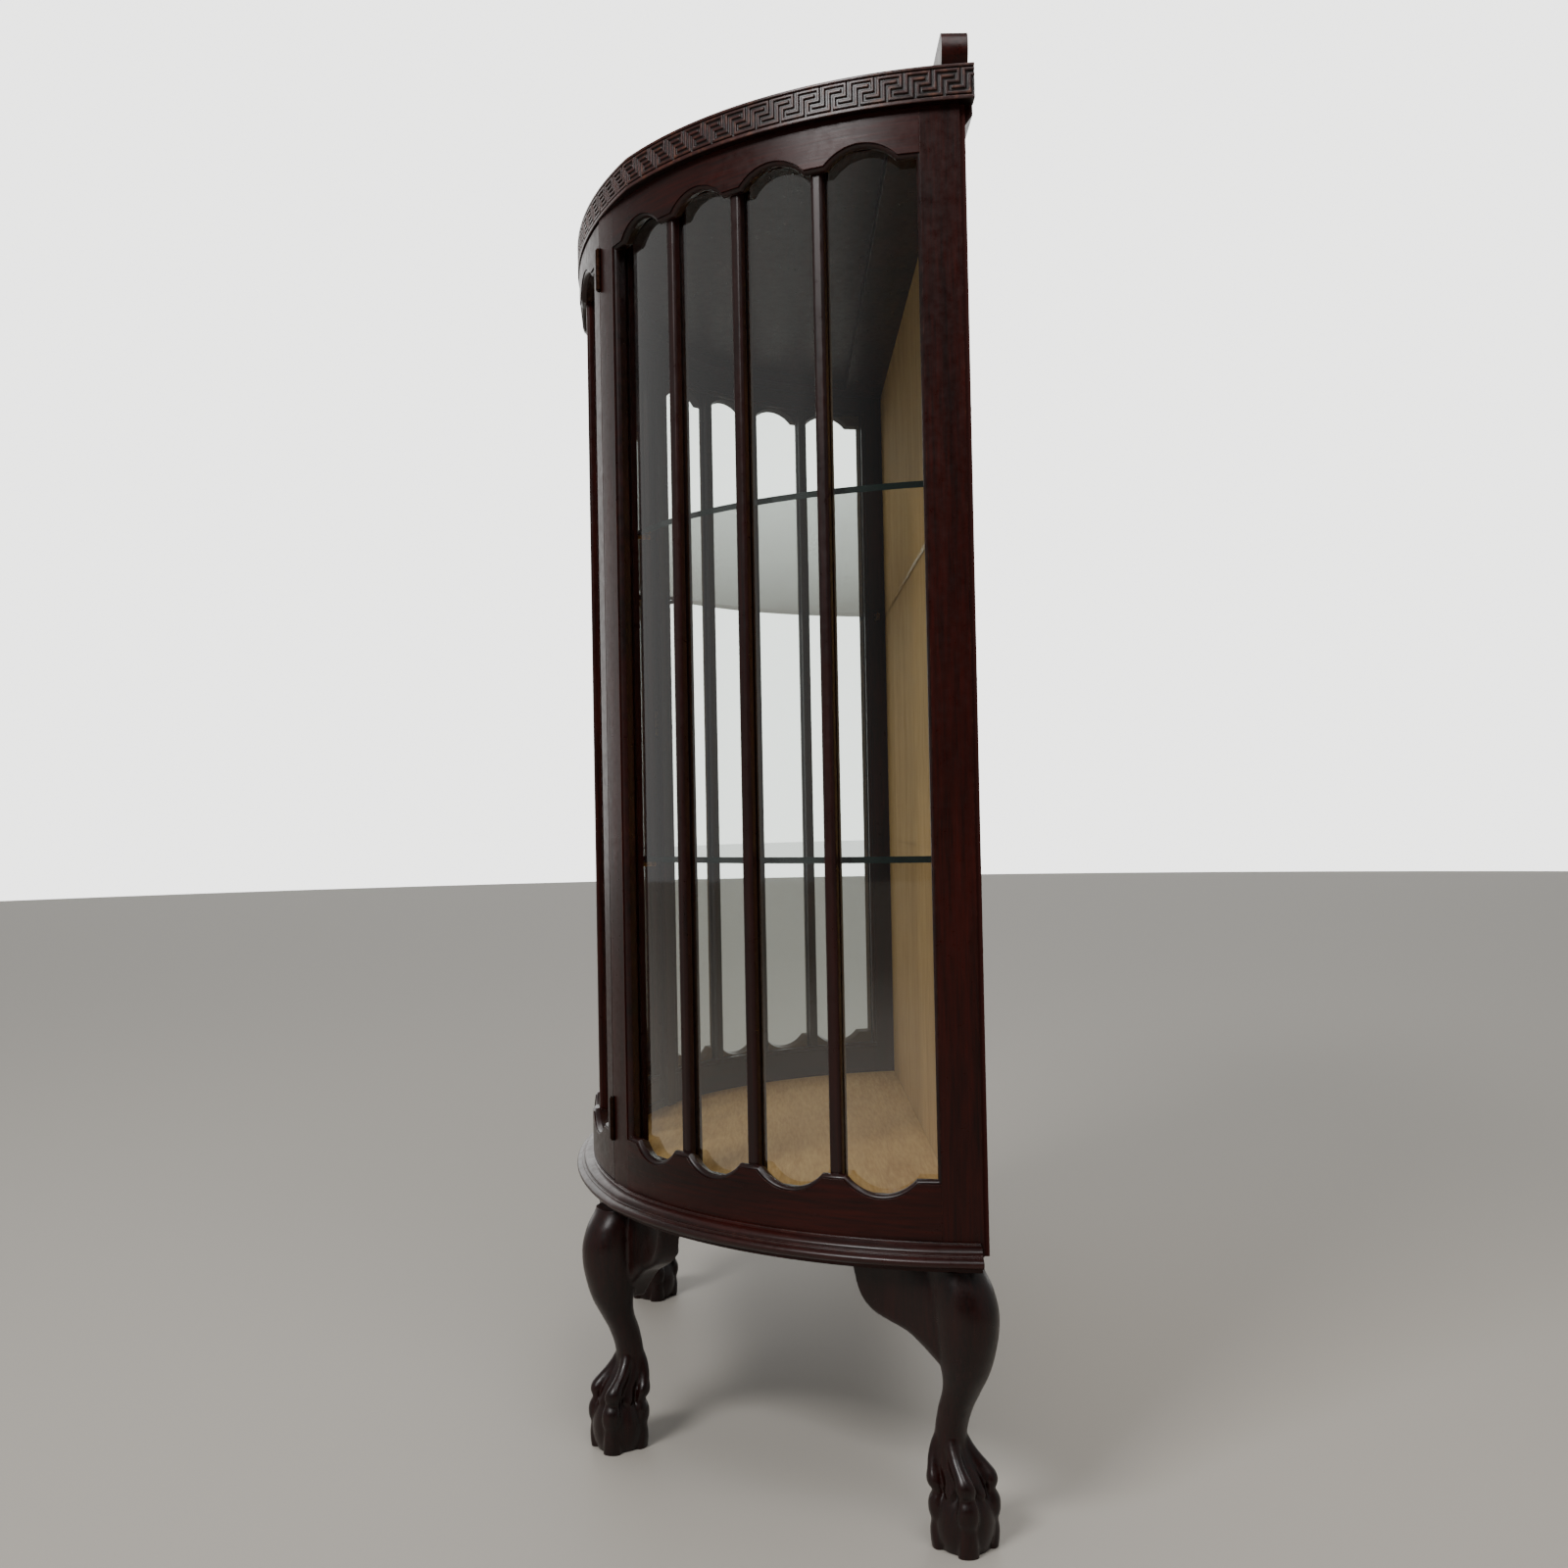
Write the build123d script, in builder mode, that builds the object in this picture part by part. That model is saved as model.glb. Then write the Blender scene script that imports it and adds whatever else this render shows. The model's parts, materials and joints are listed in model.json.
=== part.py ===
"""Bow-fronted china cabinet on four cabriole legs: a D-shaped carcass with two bent-glass side
panels, one bent-glass door hinged on its right edge, two glass shelves and a carved top band.

Frame: millimetres, +Z up, +X to the right of someone facing the door, +Y towards the wall.
The origin is the middle of the overall box, on the floor."""
import os
from math import asin, atan2, cos, degrees, hypot, pi, radians, sin, sqrt

from build123d import *

# ---- Plan: each side is one arc and the door a flatter one, which meet at the door seams --------
side_radius = 441.4        # outer face of the side panels
side_x = 50.0              # centre of the side arc, from the middle plane
side_y = 252.9
seam_x = 234.6             # half-width of the doorway
door_bow = 45.0            # how far the door's middle stands forward of its seams
carcass_back = 199.0       # rear face of the back posts
back_edge = 211.5          # rear edge of the top and its carved band

# ---- Heights above the floor --------------------------------------------------------------------
leg_height = 243.0
base_step = 248.0          # top of the recessed strip under the moulding
base_top = 254.0
moulding_top = 266.5
sill_line = 316.0          # flats of the lower rails
crown_line = 1229.0        # flats of the upper rails
carcass_top = 1269.5
frame_top = 1282.0
rim_top = 1301.0
overall_height = 1350.0
shelf_heights = (597.0, 937.0)

# ---- Sections -----------------------------------------------------------------------------------
frame_depth = 24.0         # posts and rails, front to back
bar_face = 7.0             # the glazing bars stand this far behind the outer face
glass_face = 15.0          # rebate for the glass
glass_thickness = 3.0
rebate_lap = 5.0           # how far the glass runs into the rebate
bar_width = 12.0
scallop_rise = 15.0
side_arch_half = 34.4      # half-width of one arch of a side rail
door_arch_half = 42.5      # and of a door rail
rim_side = 8.5             # overhang of the top band at the sides
rim_front = 1.5            # and over the door
rim_inset = 6.0            # inner face of the band, inside the carcass face
mould_side = 21.5          # projection of the base moulding
mould_front = 18.5
door_gap = 1.5
shelf_thickness = 6.0
shelf_inset = 33.0
ply = 5.0

# ---- Door hardware ------------------------------------------------------------------------------
hinge_heights = (332.0, 1217.0)   # middles of the two hinges
hinge_length = 42.0
pin_radius = 1.5
knuckle_radius = 3.2
pin_head = 1.5             # height of the pin's ball ends
axis_stand_off = 1.2       # pin axis, in front of the outer face
lock_height = 766.0
key_inset = 9.0            # key axis, from the door's edge


def crossing(side_r, front_r):
    """Half-width and depth at which the side arc meets the front arc."""
    gap = hypot(side_x, side_y - front_y)
    along = (front_r**2 - side_r**2 + gap**2) / (2 * gap)
    across = sqrt(front_r**2 - along**2)
    ux, uy = side_x / gap, (side_y - front_y) / gap
    return along * ux - across * uy, front_y + along * uy + across * ux


seam_y = side_y - sqrt(side_radius**2 - (seam_x - side_x)**2)
front_radius = (seam_x**2 + door_bow**2) / (2 * door_bow)
front_y = seam_y - door_bow + front_radius
seam_side_angle = degrees(asin((seam_x - side_x) / side_radius))
seam_front_angle = degrees(asin(seam_x / front_radius))
back_angle = degrees(atan2(sqrt(side_radius**2 - (side_y - carcass_back)**2), side_y - carcass_back))

side_centre = (side_x, side_y)
front_centre = (0.0, front_y)


def polar(centre, radius, angle):
    """A plan point at an angle measured from straight forward, positive to the right."""
    a = radians(angle)
    return (centre[0] + radius * sin(a), centre[1] - radius * cos(a))


def as_angle(length, radius):
    return degrees(length / radius)


def bent_block(centre, radius, depths, angles, heights, mode=Mode.ADD):
    """A block bent about a vertical axis: depths are measured inwards from the outer radius."""
    outer, inner = radius - depths[0], radius - depths[1]
    middle = (angles[0] + angles[1]) / 2
    with BuildSketch(Plane.XY.offset(heights[0])) as profile:
        with BuildLine():
            ThreePointArc(*[polar(centre, outer, a) for a in (angles[0], middle, angles[1])])
            Line(polar(centre, outer, angles[1]), polar(centre, inner, angles[1]))
            ThreePointArc(*[polar(centre, inner, a) for a in (angles[1], middle, angles[0])])
            Line(polar(centre, inner, angles[0]), polar(centre, outer, angles[0]))
        make_face()
    extrude(profile.sketch, amount=heights[1] - heights[0], mode=mode)


def plan_slab(grow_side, grow_front, back, heights, mode=Mode.ADD):
    """A D-shaped slab with the carcass outline moved out by the two amounts."""
    side_r, front_r = side_radius + grow_side, front_radius + grow_front
    jx, jy = crossing(side_r, front_r)
    end_angle = degrees(atan2(sqrt(side_r**2 - (side_y - back)**2), side_y - back))
    start_angle = degrees(atan2(jx - side_x, side_y - jy))
    end = polar(side_centre, side_r, end_angle)
    middle = polar(side_centre, side_r, (start_angle + end_angle) / 2)
    with BuildSketch(Plane.XY.offset(heights[0])) as profile:
        with BuildLine():
            ThreePointArc(end, middle, (jx, jy))
            ThreePointArc((jx, jy), (0, front_y - front_r), (-jx, jy))
            ThreePointArc((-jx, jy), (-middle[0], middle[1]), (-end[0], end[1]))
            Line((-end[0], end[1]), end)
        make_face()
    extrude(profile.sketch, amount=heights[1] - heights[0], mode=mode)


def radial_plane(centre, radius, angle, height):
    """Upright plane on the curved face, looking straight out of it."""
    x, y = polar(centre, radius, angle)
    out = (sin(radians(angle)), -cos(radians(angle)), 0)
    return Plane(origin=(x, y, height), x_dir=(cos(radians(angle)), sin(radians(angle)), 0), z_dir=out)


def scallops(centre, radius, angles, half_width, height, direction):
    """Arched cuts along a rail: direction is +1 for an upper rail and -1 for a lower one."""
    arch_radius = (half_width**2 + scallop_rise**2) / (2 * scallop_rise)
    for angle in angles:
        middle = height + direction * (scallop_rise - arch_radius)
        with BuildSketch(radial_plane(centre, radius, angle, middle)) as profile:
            Circle(arch_radius)
        extrude(profile.sketch, amount=frame_depth + 6, both=True, mode=Mode.SUBTRACT)


pieces = {}


def keep(name, part):
    """Labels a finished piece and writes it to its own file."""
    part.label = name
    pieces[name] = part
    export_step(part, f"parts/{name}.step")


def mirrored(part):
    with BuildPart() as twin:
        mirror(part, about=Plane.YZ)
    return twin.part


os.makedirs("parts", exist_ok=True)

# ---- Side panels: one arc, four lights ----------------------------------------------------------
side_open = (29.4, 78.3)                       # angles of the glazed opening
side_middle = sum(side_open) / 2
side_pitch = 11.55
side_arch = as_angle(side_arch_half, side_radius)        # half-width of one arch, as an angle
side_arches = [side_middle + side_pitch * k for k in (-1.5, -0.5, 0.5, 1.5)]
side_bars = [side_middle + side_pitch * k for k in (-1, 0, 1)]
door_stile = 23.0
door_edge = seam_front_angle - as_angle(door_gap, front_radius)
door_open = seam_front_angle - as_angle(door_stile, front_radius)
door_pitch = as_angle(103.0, front_radius)
door_arches = [door_pitch * k for k in (-1.5, -0.5, 0.5, 1.5)]
door_bars = [door_pitch * k for k in (-1, 0, 1)]
door_heights = (268.3, 1266.5)
glass_heights = (sill_line - scallop_rise - rebate_lap, crown_line + scallop_rise + rebate_lap)
rebate_heights = (glass_heights[0] - 0.5, glass_heights[1] + 0.5)
open_depth = frame_depth + 4                   # cuts run past the rear face

# Seam frame: x runs into the cabinet along the door's edge, y towards the door, z up
seam_in = (-sin(radians(seam_front_angle)), cos(radians(seam_front_angle)), 0)
hinge_axis = (seam_x - seam_in[0] * axis_stand_off, seam_y - seam_in[1] * axis_stand_off)


def seam_plane(height):
    return Plane(origin=(*hinge_axis, height), x_dir=seam_in, z_dir=(0, 0, 1))


def seam_box(depths, sides, heights, mode=Mode.ADD):
    """A box in the seam frame of the hinges."""
    with BuildSketch(seam_plane(heights[0])) as profile:
        with Locations(((depths[0] + depths[1]) / 2, (sides[0] + sides[1]) / 2)):
            Rectangle(depths[1] - depths[0], sides[1] - sides[0])
    extrude(profile.sketch, amount=heights[1] - heights[0], mode=mode)


def seam_rod(radius, heights, mode=Mode.ADD):
    with BuildSketch(seam_plane(heights[0])) as profile:
        Circle(radius)
    extrude(profile.sketch, amount=heights[1] - heights[0], mode=mode)


leaf_thickness = 1.2
leaf_depths = (3.8, 21.0)
leaf_sides = {"post": (-leaf_thickness, 0.0), "door": (door_gap, door_gap + leaf_thickness)}
screw_spots = [(9.0, 14.0), (16.0, 0.0), (9.0, -14.0)]
screw_head, screw_shank, screw_length = 2.3, 1.2, 12.0


def hinge_span(height):
    return (height - hinge_length / 2, height + hinge_length / 2)


def hinge_recess(side):
    """Cuts the leaf recess, the room for the knuckle and the screw holes."""
    low, high = leaf_sides[side]
    for height in hinge_heights:
        span = hinge_span(height)
        seam_box((1.0, leaf_depths[1]), (low, high), span, Mode.SUBTRACT)
        seam_rod(knuckle_radius + 0.6, (span[0] - pin_head - 0.3, span[1] + pin_head + 0.3), Mode.SUBTRACT)
        inward = -1 if side == "post" else 1
        face = low if side == "post" else high
        for depth, dz in screw_spots:
            at = seam_plane(height + dz)
            start = at.from_local_coords(Vector(depth, face, 0))
            along = at.from_local_coords(Vector(depth, face + inward, 0)) - start
            with BuildSketch(Plane(origin=start, z_dir=along)) as profile:
                Circle(screw_shank)
            extrude(profile.sketch, amount=screw_length, mode=Mode.SUBTRACT)


def front_post():
    """The post beside the door: its edge follows the door's edge."""
    inner = side_radius - frame_depth
    px, py = seam_x - side_x, seam_y - side_y
    b = px * seam_in[0] + py * seam_in[1]
    reach = -b - sqrt(b * b - (px**2 + py**2 - inner**2))
    corner = (seam_x + seam_in[0] * reach, seam_y + seam_in[1] * reach)
    corner_angle = degrees(atan2(corner[0] - side_x, side_y - corner[1]))
    edge = side_open[0]
    with BuildPart() as post:
        with BuildSketch(Plane.XY.offset(base_top)):
            with BuildLine():
                mid = (seam_side_angle + edge) / 2
                ThreePointArc((seam_x, seam_y), polar(side_centre, side_radius, mid),
                              polar(side_centre, side_radius, edge))
                Line(polar(side_centre, side_radius, edge), polar(side_centre, inner, edge))
                ThreePointArc(polar(side_centre, inner, edge),
                              polar(side_centre, inner, (corner_angle + edge) / 2), corner)
                Line(corner, (seam_x, seam_y))
            make_face()
        extrude(amount=carcass_top - base_top)
        lap = as_angle(rebate_lap + 0.5, side_radius)
        bent_block(side_centre, side_radius, (glass_face, open_depth), (edge - lap, edge + 1),
                   rebate_heights, Mode.SUBTRACT)
    return post.part


plain_post = front_post()
with BuildPart() as front_post_right:
    add(plain_post)
    hinge_recess("post")
keep("front_post_right", front_post_right.part)

# The lock sits in the door's left stile, in a frame on the key's axis: x inwards, y to the post
key_angle = -(seam_front_angle - as_angle(door_gap + key_inset, front_radius))
key_in = (-sin(radians(key_angle)), cos(radians(key_angle)), 0)
key_point = polar(front_centre, front_radius, key_angle)


def lock_plane(height):
    return Plane(origin=(*key_point, height), x_dir=key_in, z_dir=(0, 0, 1))


def lock_box(depths, sides, heights, mode=Mode.ADD):
    with BuildSketch(lock_plane(lock_height + heights[0])) as profile:
        with Locations(((depths[0] + depths[1]) / 2, (sides[0] + sides[1]) / 2)):
            Rectangle(depths[1] - depths[0], sides[1] - sides[0])
    extrude(profile.sketch, amount=heights[1] - heights[0], mode=mode)


def key_rod(radius, depths, mode=Mode.ADD):
    start = lock_plane(lock_height).from_local_coords(Vector(depths[0], 0, 0))
    with BuildSketch(Plane(origin=start, z_dir=key_in)) as profile:
        Circle(radius)
    extrude(profile.sketch, amount=depths[1] - depths[0], mode=mode)


lock_case = ((11.0, frame_depth - 0.2), (-6.4, key_inset - 0.1), (-14.0, 19.0))
bolt_size = ((13.6, 18.6), (-5.0, key_inset - 0.6), (6.6, 14.2))
bit_reach = 4.8
post_face = key_inset + door_gap
bolt_travel = 6.0

with BuildPart() as front_post_left:
    mirror(plain_post, about=Plane.YZ)
    lock_box((11.8, 20.4), (post_face - 0.6, post_face + 8.0), (4.6, 16.2), Mode.SUBTRACT)
    lock_box((9.5, 22.5), (post_face - 0.6, post_face + 1.6), (-4.0, 25.0), Mode.SUBTRACT)
keep("front_post_left", front_post_left.part)

with BuildPart() as strike_plate:
    lock_box((9.7, 22.3), (post_face + 0.4, post_face + 1.5), (-3.8, 24.8))
    lock_box((12.0, 20.2), (post_face - 1, post_face + 3), (4.8, 16.0), Mode.SUBTRACT)
keep("strike_plate", strike_plate.part)

with BuildPart() as back_post_right:
    bent_block(side_centre, side_radius, (0, frame_depth), (side_open[1], back_angle),
               (base_top, carcass_top))
    bent_block(side_centre, side_radius, (glass_face, open_depth),
               (side_open[1] - 1, side_open[1] + as_angle(rebate_lap + 0.5, side_radius)),
               rebate_heights, Mode.SUBTRACT)
    with Locations((0, carcass_back + 50, 0)):
        Box(1200, 100, 3000, mode=Mode.SUBTRACT)
keep("back_post_right", back_post_right.part)
keep("back_post_left", mirrored(back_post_right.part))


def rail(centre, radius, angles, heights, arches, half_arch, direction):
    """A scalloped rail with the glass rebate behind its shaped edge."""
    with BuildPart() as made:
        bent_block(centre, radius, (0, frame_depth), angles, heights)
        rebate = (rebate_heights[0], sill_line + 1) if direction < 0 else (crown_line - 1, rebate_heights[1])
        bent_block(centre, radius, (glass_face, open_depth), (angles[0] - 1, angles[1] + 1),
                   rebate, Mode.SUBTRACT)
        level = sill_line if direction < 0 else crown_line
        scallops(centre, radius, arches, half_arch, level, direction)
    return made.part


keep("top_rail_right", rail(side_centre, side_radius, side_open, (crown_line, carcass_top),
                            side_arches, side_arch_half, 1))
keep("top_rail_left", mirrored(pieces["top_rail_right"]))
keep("bottom_rail_right", rail(side_centre, side_radius, side_open, (base_top, sill_line),
                               side_arches, side_arch_half, -1))
keep("bottom_rail_left", mirrored(pieces["bottom_rail_right"]))


def glazing_bars(centre, radius, angles):
    """Upright bars with rounded noses, between the flats of the two rails."""
    half = as_angle(bar_width / 2, radius)
    with BuildPart() as made:
        for angle in angles:
            bent_block(centre, radius, (bar_face, glass_face - 0.1), (angle - half, angle + half),
                       (sill_line, crown_line))
        far = [e for e in made.edges().filter_by(Axis.Z)
               if hypot(e.center().X - centre[0], e.center().Y - centre[1]) > radius - bar_face - 0.5]
        fillet(far, 3.5)
    return made.part


def bent_glass(centre, radius, angles):
    lap = as_angle(rebate_lap, radius)
    with BuildPart() as made:
        bent_block(centre, radius, (glass_face, glass_face + glass_thickness),
                   (angles[0] - lap, angles[1] + lap), glass_heights)
    return made.part


def glazing_beads(centre, radius, angles):
    """Four slips that hold the glass from inside."""
    depths = (glass_face + glass_thickness + 0.1, frame_depth)
    lap, slip = as_angle(rebate_lap, radius), as_angle(rebate_lap - 0.3, radius)
    with BuildPart() as made:
        for low, high in (glass_heights[0], glass_heights[0] + rebate_lap - 0.3), \
                         (glass_heights[1] - rebate_lap + 0.3, glass_heights[1]):
            bent_block(centre, radius, depths, (angles[0] - lap, angles[1] + lap), (low, high))
        upright = (glass_heights[0] + rebate_lap, glass_heights[1] - rebate_lap)
        bent_block(centre, radius, depths, (angles[0] - lap, angles[0] - lap + slip), upright)
        bent_block(centre, radius, depths, (angles[1] + lap - slip, angles[1] + lap), upright)
    return made.part


for piece, make, angles in (("astragals", glazing_bars, side_bars), ("side_glass", bent_glass, side_open),
                            ("glazing_slips", glazing_beads, side_open)):
    keep(f"{piece}_right", make(side_centre, side_radius, angles))
    keep(f"{piece}_left", mirrored(pieces[f"{piece}_right"]))

# The strip behind the left seam stops the closed door; its step keeps clear of the door's rear
stop_angles = (24.0, 25.0, 27.0)
stop_depth = 31.0
with BuildPart() as stop_right:
    bent_block(side_centre, side_radius, (frame_depth, stop_depth), stop_angles[1:],
               (base_top + 4, carcass_top - 1))
    bent_block(side_centre, side_radius, (frame_depth + 0.6, stop_depth), stop_angles[:2],
               (base_top + 4, carcass_top - 1))
keep("door_stop_strip", mirrored(stop_right.part))

# ---- Door: the flatter front arc, four lights ---------------------------------------------------
door_lap = as_angle(rebate_lap + 0.5, front_radius)


def door_stile_block(angles, rebate_angles):
    bent_block(front_centre, front_radius, (0, frame_depth), angles, door_heights)
    bent_block(front_centre, front_radius, (glass_face, open_depth), rebate_angles, rebate_heights,
               Mode.SUBTRACT)


with BuildPart() as door_hinge_stile:
    door_stile_block((door_open, door_edge), (door_open - 1, door_open + door_lap))
    hinge_recess("door")
keep("door_hinge_stile", door_hinge_stile.part)

with BuildPart() as door_lock_stile:
    door_stile_block((-door_edge, -door_open), (-door_open - door_lap, -door_open + 1))
    lock_box((lock_case[0][0], open_depth), (lock_case[1][0], key_inset + 2), lock_case[2], Mode.SUBTRACT)
    key_rod(3.2, (-2, 14), Mode.SUBTRACT)
keep("door_lock_stile", door_lock_stile.part)

keep("door_top_rail", rail(front_centre, front_radius, (-door_open, door_open),
                           (crown_line, door_heights[1]), door_arches, door_arch_half, 1))
keep("door_bottom_rail", rail(front_centre, front_radius, (-door_open, door_open),
                              (door_heights[0], sill_line), door_arches, door_arch_half, -1))
keep("door_astragals", glazing_bars(front_centre, front_radius, door_bars))
keep("door_glass", bent_glass(front_centre, front_radius, (-door_open, door_open)))
keep("door_glazing_slips", glazing_beads(front_centre, front_radius, (-door_open, door_open)))

# ---- Hinges -------------------------------------------------------------------------------------
knuckle_split = hinge_length / 6                # the door's knuckle fills the middle third


def knuckle_spans(height, side):
    low, high = hinge_span(height)
    inner = (height - knuckle_split, height + knuckle_split)
    if side == "door":
        return [(inner[0] + 0.3, inner[1] - 0.3)]
    return [(low, inner[0]), (inner[1], high)]


def hinge_leaves(side):
    """Both leaves of one side: plate, tongue and knuckles, with screw holes."""
    low, high = leaf_sides[side]
    inward = -1 if side == "post" else 1
    face = low if side == "post" else high
    with BuildPart() as made:
        for height in hinge_heights:
            seam_box(leaf_depths, (low, high), hinge_span(height))
            for span in knuckle_spans(height, side):
                seam_rod(knuckle_radius, span)
                seam_box((1.6, leaf_depths[0] + 0.2), (low, high), span)
            seam_rod(pin_radius + 0.05, hinge_span(height), Mode.SUBTRACT)
            for depth, dz in screw_spots:
                at = seam_plane(height + dz)
                start = at.from_local_coords(Vector(depth, face, 0))
                along = start - at.from_local_coords(Vector(depth, face + inward, 0))
                with BuildSketch(Plane(origin=start, z_dir=along)):
                    Circle(screw_head)
                extrude(amount=leaf_thickness + 1, mode=Mode.SUBTRACT)
    return made.part


def hinge_screws(side):
    """Countersunk wood screws: head flush in the leaf, shank in the wood."""
    low, high = leaf_sides[side]
    inward = -1 if side == "post" else 1
    face = low if side == "post" else high
    with BuildPart() as made:
        for height in hinge_heights:
            for depth, dz in screw_spots:
                at = seam_plane(height + dz)
                start = at.from_local_coords(Vector(depth, face, 0))
                along = at.from_local_coords(Vector(depth, face + inward, 0)) - start
                with BuildSketch(Plane(origin=start, z_dir=along)):
                    Circle(screw_shank)
                extrude(amount=screw_length)
                with BuildSketch(Plane(origin=start, z_dir=-along)):
                    Circle(screw_head - 0.02)
                extrude(amount=leaf_thickness - 0.1)
    return made.part


for side in ("post", "door"):
    keep(f"hinge_leaves_{side}", hinge_leaves(side))
    keep(f"hinge_screws_{side}", hinge_screws(side))

with BuildPart() as hinge_pins:
    for height in hinge_heights:
        low, high = hinge_span(height)
        seam_rod(pin_radius, (low, high))
        seam_rod(pin_radius + 0.7, (low - pin_head, low))
        seam_rod(pin_radius + 0.7, (high, high + pin_head))
keep("hinge_pins", hinge_pins.part)

# ---- Lock ---------------------------------------------------------------------------------------
with BuildPart() as lock_body:
    lock_box(*lock_case)
    lock_box((12.4, 22.4), (-5.5, key_inset - 1.4), (-6.9, 17.0), Mode.SUBTRACT)
    lock_box((13.4, 18.8), (key_inset - 2, key_inset + 1), (6.4, 14.4), Mode.SUBTRACT)
    key_rod(3.0, (10, 13), Mode.SUBTRACT)
keep("lock_body", lock_body.part)

with BuildPart() as lock_bolt:
    lock_box(*bolt_size)
keep("lock_bolt", lock_bolt.part)

key_plate_grip = 9.0
with BuildPart() as key:
    key_rod(2.2, (-9, 20))
    key_rod(3.0, (-9, -7))
    lock_box((14.2, 18.2), (-1.2, 1.2), (-bit_reach, 0))
    bow = lock_plane(lock_height).from_local_coords(Vector(-9 - key_plate_grip + 1, 0, 0))
    with BuildSketch(Plane(origin=bow, x_dir=key_in, z_dir=lock_plane(0).y_dir)):
        Circle(key_plate_grip)
        Circle(key_plate_grip - 3.2, mode=Mode.SUBTRACT)
    extrude(amount=1.3, both=True)
keep("key", key.part)

with BuildPart() as escutcheon:
    with BuildSketch(Plane(origin=lock_plane(lock_height).from_local_coords(Vector(-0.06, 0, 0)),
                           x_dir=(0, 0, 1), z_dir=(-key_in[0], -key_in[1], 0))):
        SlotOverall(30, 13)
        Circle(3.1, mode=Mode.SUBTRACT)
    extrude(amount=1.3)
keep("escutcheon", escutcheon.part)

# ---- Base: board, floor, sill and moulding ------------------------------------------------------
base_back = 196.0
strip_grow = 10.0
with BuildPart() as base_board:
    plan_slab(strip_grow, strip_grow - 2, base_back, (leg_height, base_step))
    plan_slab(0, 0, base_back, (base_step, base_top))
keep("base_board", base_board.part)

moulding_steps = ((base_step, 253.0, 0.0), (253.0, 257.5, 2.0), (257.5, 262.0, 5.5), (262.0, moulding_top, 9.5))
with BuildPart() as base_moulding:
    for low, high, back_off in moulding_steps:
        plan_slab(mould_side - back_off, mould_front - back_off, base_back, (low, high))
    plan_slab(0, 0, base_back + 30, (base_step - 1, moulding_top + 1), Mode.SUBTRACT)
keep("base_moulding", base_moulding.part)

with BuildPart() as front_sill:
    bent_block(front_centre, front_radius, (0, frame_depth),
               (-seam_front_angle + 0.02, seam_front_angle - 0.02),
               (base_top, moulding_top))
keep("front_sill", front_sill.part)

with BuildPart() as floor_panel:
    plan_slab(-frame_depth - 0.5, -frame_depth - 0.5, carcass_back - 0.5, (base_top, base_top + 3))
keep("floor_panel", floor_panel.part)

back_panel_x = 485.0
back_screw_x = 474.0
back_screw_heights = (290, 520, 760, 1000, 1230)
with BuildPart() as back_panel:
    with BuildSketch(Plane.XZ.offset(-carcass_back)):
        with Locations((0, (base_top + carcass_top) / 2)):
            Rectangle(2 * back_panel_x, carcass_top - base_top)
    extrude(amount=-ply)
keep("back_panel", back_panel.part)

with BuildPart() as back_screws:
    for height in back_screw_heights:
        for x in (-back_screw_x, back_screw_x):
            with BuildSketch(Plane(origin=(x, carcass_back + ply, height), z_dir=(0, 1, 0))):
                Circle(3.4)
            extrude(amount=1.2)
keep("back_screws", back_screws.part)

# ---- Top: frame, board, carved band, rear cleat and gallery -------------------------------------
top_frame_width = 55.0
with BuildPart() as top_frame:
    plan_slab(-rim_inset, -rim_inset, carcass_back, (carcass_top, frame_top))
    plan_slab(-rim_inset - top_frame_width, -rim_inset - top_frame_width, carcass_back - top_frame_width,
              (carcass_top - 1, frame_top + 1), Mode.SUBTRACT)
keep("top_frame", top_frame.part)

with BuildPart() as top_board:
    plan_slab(-rim_inset, -rim_inset, back_edge, (frame_top, rim_top))
keep("top_board", top_board.part)

with BuildPart() as key_frieze:
    plan_slab(rim_side, rim_front, back_edge, (carcass_top, rim_top))
    plan_slab(-rim_inset, -rim_inset, back_edge + 40, (carcass_top - 1, rim_top + 1), Mode.SUBTRACT)
keep("key_frieze", key_frieze.part)

cleat_x = 480.0
cleat_low = (1252.0, 1262.0)      # its lower edge slopes up towards the wall
with BuildPart() as rear_cleat:
    with BuildSketch(Plane.YZ.offset(-cleat_x)):
        Polygon((carcass_back + ply, cleat_low[0]), (back_edge, cleat_low[1]), (back_edge, frame_top),
                (carcass_back, frame_top), (carcass_back, carcass_top), (carcass_back + ply, carcass_top),
                align=None)
    extrude(amount=2 * cleat_x)
keep("rear_cleat", rear_cleat.part)

gallery_x = 462.0
gallery_depth = 24.0
with BuildPart() as gallery:
    with BuildSketch(Plane.XZ.offset(-back_edge)):
        with BuildLine():
            low, high = rim_top, overall_height
            foot, neck, roll = gallery_x - 1, gallery_x - 8, gallery_x
            Polyline((-foot, low), (foot, low), (foot, low + 4))
            Spline((foot, low + 4), (neck, low + 13), (roll - 2, low + 24), (roll, low + 34),
                   (roll - 3, high - 4), (roll - 10, high))
            Line((roll - 10, high), (-roll + 10, high))
            Spline((-roll + 10, high), (-roll + 3, high - 4), (-roll, low + 34), (-roll + 2, low + 24),
                   (-neck, low + 13), (-foot, low + 4))
            Line((-foot, low + 4), (-foot, low))
        make_face()
    extrude(amount=gallery_depth)
keep("gallery", gallery.part)

# ---- Shelves ------------------------------------------------------------------------------------
for name, height in zip(("shelf_lower", "shelf_upper"), shelf_heights):
    with BuildPart() as shelf:
        plan_slab(-shelf_inset, -shelf_inset, carcass_back - 1, (height, height + shelf_thickness))
    keep(name, shelf.part)

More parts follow.
